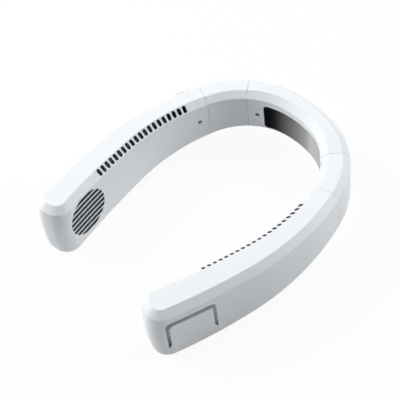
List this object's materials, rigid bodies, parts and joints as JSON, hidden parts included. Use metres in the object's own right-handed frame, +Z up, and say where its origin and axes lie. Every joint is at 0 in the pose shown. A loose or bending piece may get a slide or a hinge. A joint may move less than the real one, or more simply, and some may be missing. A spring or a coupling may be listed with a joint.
{
  "type": "neck fan",
  "caption": "Horseshoe neck fan with a cooling plate at the nape, flexing arms, side blowers behind round grilles and slotted air outlets.",
  "frame": {"origin": "under the middle of the collar's bounding box, level with the tips' lowest points", "axes": "+X to the wearer's left, +Y behind the wearer, +Z up as worn; the tips point along -Y"},
  "size_m": [0.1866, 0.2222, 0.0514],
  "materials": {
    "shell": "satin white moulded plastic",
    "sleeve": "soft white silicone, satin",
    "cold_plate": "dark anodised, brushed",
    "ceramic": "white ceramic",
    "foam": "dense grey foam",
    "sink": "milled",
    "steel": "zinc plated",
    "dark_plastic": "moulded, dark grey",
    "wheel_plastic": "moulded, light grey",
    "motor_can": "drawn steel",
    "cell_wrap": "shrink wrap",
    "board": "solder mask",
    "inlet_steel": "nickel plated",
    "button": "satin white",
    "switch": "black",
    "lens": "clear light pipe"
  },
  "bodies": {
    "back": {"back_outer_shell": "shell", "back_inner_cover": "shell", "cooling_plate": "cold_plate", "cooling_module": "ceramic", "insulation_frame": "foam", "heat_sink": "sink", "back_screws": "steel", "left_link_sleeve": "sleeve", "left_hinge_bracket": "steel", "left_hinge_pin": "steel", "left_return_spring": "steel", "right_link_sleeve": "sleeve", "right_hinge_bracket": "steel", "right_hinge_pin": "steel", "right_return_spring": "steel"},
    "left_arm": {"left_hinge_arm": "steel", "left_arm_outer_shell": "shell", "left_arm_inner_cover": "shell", "left_intake_cover": "shell", "left_arm_screw": "steel", "left_blower_case": "dark_plastic", "left_blower_lid": "dark_plastic", "left_motor": "motor_can", "left_air_guide": "shell", "left_battery": "cell_wrap"},
    "right_arm": {"right_hinge_arm": "steel", "right_arm_outer_shell": "shell", "right_arm_inner_cover": "shell", "right_intake_cover": "shell", "right_arm_screw": "steel", "right_blower_case": "dark_plastic", "right_blower_lid": "dark_plastic", "right_motor": "motor_can", "right_air_guide": "shell", "right_battery": "cell_wrap", "control_board": "board", "charging_socket": "inlet_steel", "button_switch": "switch", "status_light": "lens"},
    "left_impeller": {"left_impeller": "wheel_plastic"},
    "right_impeller": {"right_impeller": "wheel_plastic"},
    "power_button": {"power_button": "button"}
  },
  "joints": [
    {"name": "left_arm_flex", "type": "hinge", "parent": "back", "child": "left_arm", "pos_m": [0.06323, 0.07087, 0.02089], "axis": [0, 0, 1], "range_deg": [0, 10], "stiffness_Nm_per_rad": 0.6, "deforming": ["left_link_sleeve", "left_return_spring"]},
    {"name": "left_impeller_spin", "type": "hinge", "parent": "left_arm", "child": "left_impeller", "pos_m": [0.06425, -0.07967, 0.02639], "axis": [0.9659, -0.2591, 0], "continuous": true},
    {"name": "right_arm_flex", "type": "hinge", "parent": "back", "child": "right_arm", "pos_m": [-0.06323, 0.07087, 0.02089], "axis": [0, 0, -1], "range_deg": [0, 10], "stiffness_Nm_per_rad": 0.6, "deforming": ["right_link_sleeve", "right_return_spring"]},
    {"name": "right_impeller_spin", "type": "hinge", "parent": "right_arm", "child": "right_impeller", "pos_m": [-0.06425, -0.07967, 0.02639], "axis": [-0.9659, -0.2591, 0], "continuous": true},
    {"name": "power_button_press", "type": "slide", "parent": "right_arm", "child": "power_button", "axis": [-0.6344, 0.145, 0.7593], "range_m": [-0.0008, 0], "stiffness_N_per_m": 600}
  ]
}
